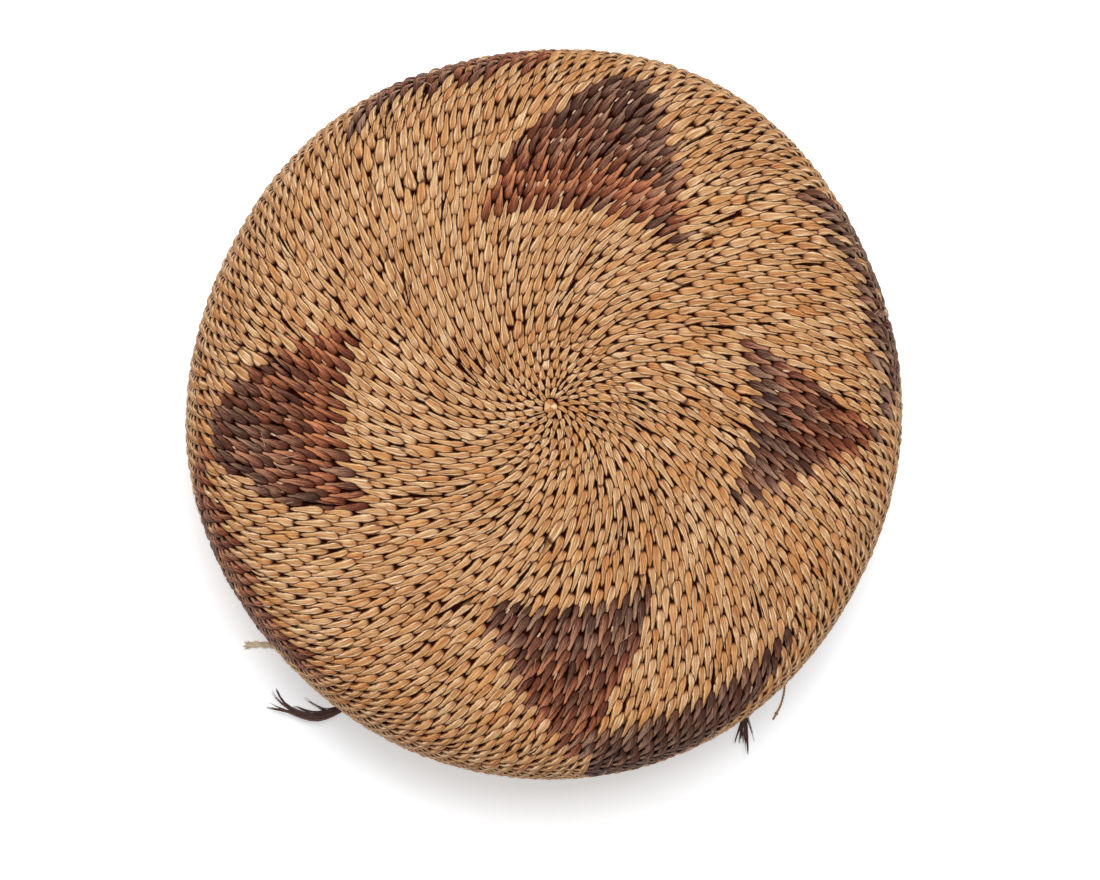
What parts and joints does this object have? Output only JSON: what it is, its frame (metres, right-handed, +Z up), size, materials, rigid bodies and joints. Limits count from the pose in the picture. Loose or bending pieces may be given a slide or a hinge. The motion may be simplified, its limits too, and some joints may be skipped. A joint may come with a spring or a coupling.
{
  "type": "beaded basket",
  "caption": "Low round coiled basket with dark stepped triangles, lying mouth down, with shell beads, feather tufts and loose string ends at its rim.",
  "frame": {"origin": "on the plane that the rim rests on, under the middle of the basket", "axes": "+Z up through the base, which faces up because the basket lies mouth down; +X to the right and +Y away from the viewer of the picture"},
  "size_m": [0.1588, 0.162, 0.0678],
  "materials": {
    "natural_fibre": "dry split root, satin",
    "dark_fibre": "dyed split root, satin",
    "shell": "ground shell, soft gloss",
    "cotton_string": "twisted, matte",
    "feather": "dark barbs, soft sheen"
  },
  "bodies": {
    "basket": {"start_knot": "natural_fibre", "base_coils": "natural_fibre", "base_field": "natural_fibre", "shoulder_field": "natural_fibre", "mouth_field": "natural_fibre", "rim_coil": "natural_fibre", "base_motif_right": "dark_fibre", "base_motif_back": "dark_fibre", "base_motif_left": "dark_fibre", "base_motif_front": "dark_fibre", "shoulder_motif_back_right": "dark_fibre", "shoulder_motif_back_left": "dark_fibre", "shoulder_motif_front_left": "dark_fibre", "shoulder_motif_front_right": "dark_fibre", "mouth_motif_back_right": "dark_fibre", "mouth_motif_back_left": "dark_fibre", "mouth_motif_front_left": "dark_fibre", "mouth_motif_front_right": "dark_fibre", "shell_bead_01": "shell", "shell_bead_02": "shell", "shell_bead_03": "shell", "shell_bead_04": "shell", "shell_bead_05": "shell", "shell_bead_06": "shell", "shell_bead_07": "shell", "shell_bead_08": "shell", "shell_bead_09": "shell", "shell_bead_10": "shell", "shell_bead_11": "shell", "shell_bead_12": "shell", "shell_bead_13": "shell", "shell_bead_14": "shell", "shell_bead_15": "shell", "shell_bead_16": "shell", "shell_bead_17": "shell", "shell_bead_18": "shell", "shell_bead_19": "shell", "shell_bead_20": "shell", "shell_bead_21": "shell", "shell_bead_22": "shell", "shell_bead_23": "shell", "shell_bead_24": "shell", "bead_string_front": "cotton_string", "bead_string_back": "cotton_string", "string_knot_left": "cotton_string", "string_knot_right": "cotton_string", "tuft_tie_left": "cotton_string", "tuft_tie_right": "cotton_string"},
    "plume_left": {"feather_plume_left": "feather"},
    "plume_right": {"feather_plume_right": "feather"},
    "loose_end_left": {"string_end_left": "cotton_string"},
    "loose_end_right": {"string_end_right": "cotton_string"}
  },
  "joints": [
    {"name": "plume_left_bend", "type": "hinge", "parent": "basket", "child": "plume_left", "pos_m": [-0.03718, -0.06312, 0.00676], "axis": [-0.4115, 0.9114, 0], "range_deg": [-8, 40], "stiffness_Nm_per_rad": 0.0002},
    {"name": "plume_right_bend", "type": "hinge", "parent": "basket", "child": "plume_right", "pos_m": [0.04659, -0.05651, 0.00676], "axis": [-0.9969, -0.0785, 0], "range_deg": [-8, 40], "stiffness_Nm_per_rad": 0.0002},
    {"name": "loose_end_left_swing", "type": "hinge", "parent": "basket", "child": "loose_end_left", "pos_m": [-0.0499, -0.04956, 0.003], "axis": [-0.0523, 0.9986, 0], "range_deg": [0, 50]},
    {"name": "loose_end_right_swing", "type": "hinge", "parent": "basket", "child": "loose_end_right", "pos_m": [0.05061, -0.04887, 0.003], "axis": [-0.8192, -0.5736, 0], "range_deg": [0, 50]}
  ]
}
